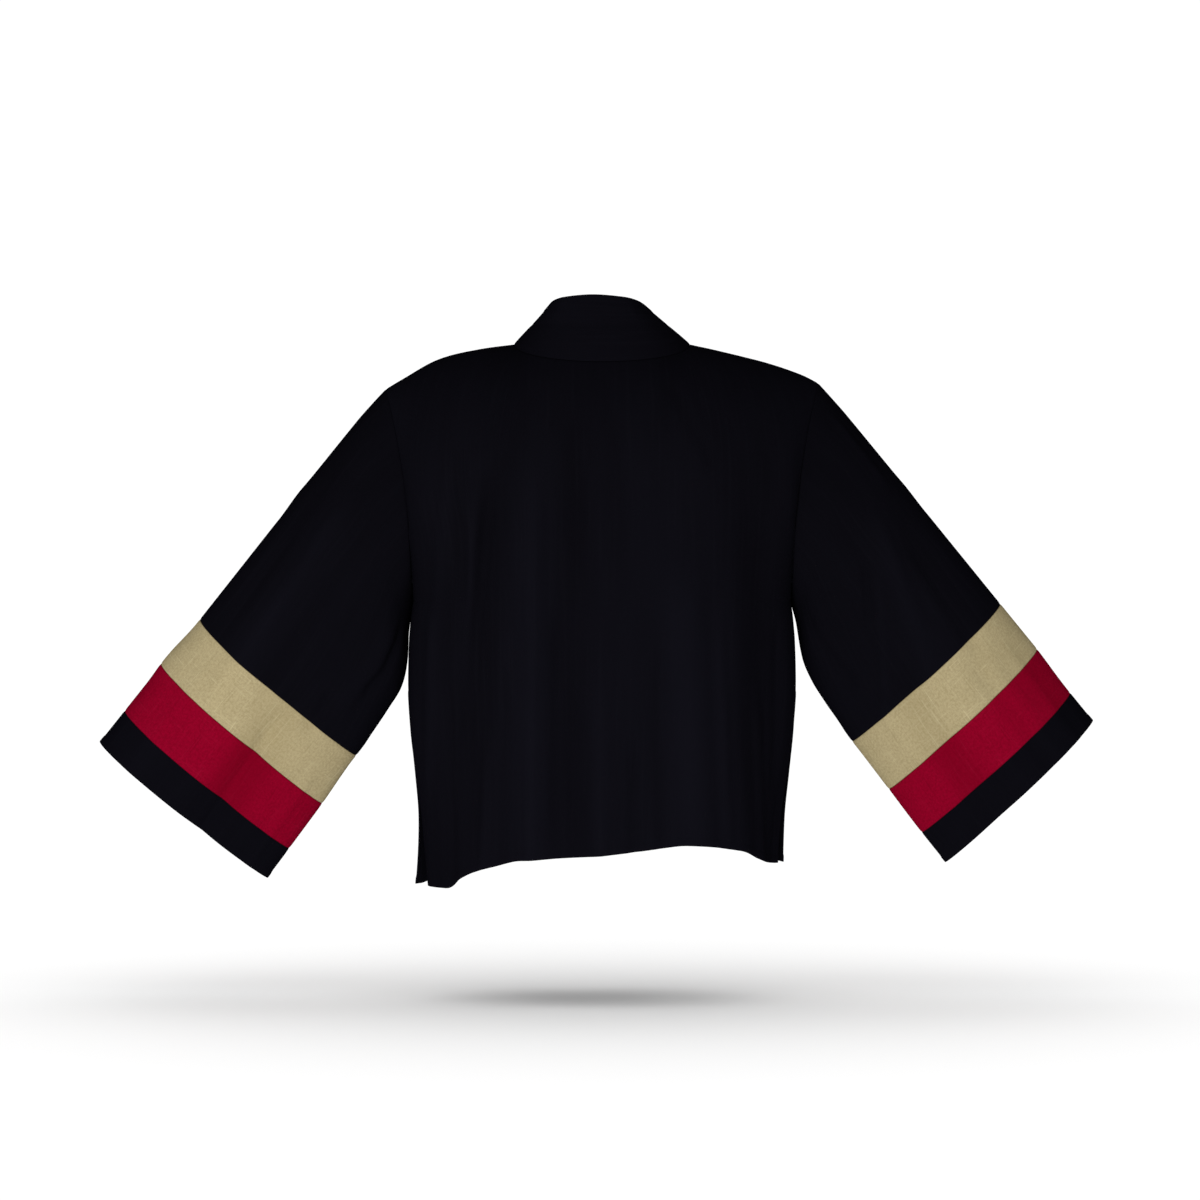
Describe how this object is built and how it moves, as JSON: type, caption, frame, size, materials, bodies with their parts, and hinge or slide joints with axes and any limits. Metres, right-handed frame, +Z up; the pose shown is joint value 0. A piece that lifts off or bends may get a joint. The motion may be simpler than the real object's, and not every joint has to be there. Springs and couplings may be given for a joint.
{
  "type": "hmong jacket with banded sleeves",
  "caption": "Cropped open-fronted jacket of plain black cloth with a standing neckband and wide sleeves that end in tan, crimson and black bands, filled out as when worn.",
  "frame": {"origin": "middle of the neck opening, level with the tops of the shoulders, where the wearer's shoulders hold the jacket", "axes": "+Z up, the front faces -Y, and +X is the wearer's left"},
  "size_m": [0.9992, 0.2371, 0.5852],
  "materials": {
    "black cloth": "matt plain weave with a faint soft sheen",
    "tan cloth": "matt slubby plain weave with light streaks",
    "crimson cloth": "matt slubby plain weave with a few light streaks"
  },
  "bodies": {
    "root": {"back": "black cloth", "front_left": "black cloth", "front_right": "black cloth", "neckband": "black cloth", "sleeve_left": "black cloth", "band_tan_left": "tan cloth", "band_red_left": "crimson cloth", "cuff_left": "black cloth", "sleeve_right": "black cloth", "band_tan_right": "tan cloth", "band_red_right": "crimson cloth", "cuff_right": "black cloth"}
  },
  "joints": []
}
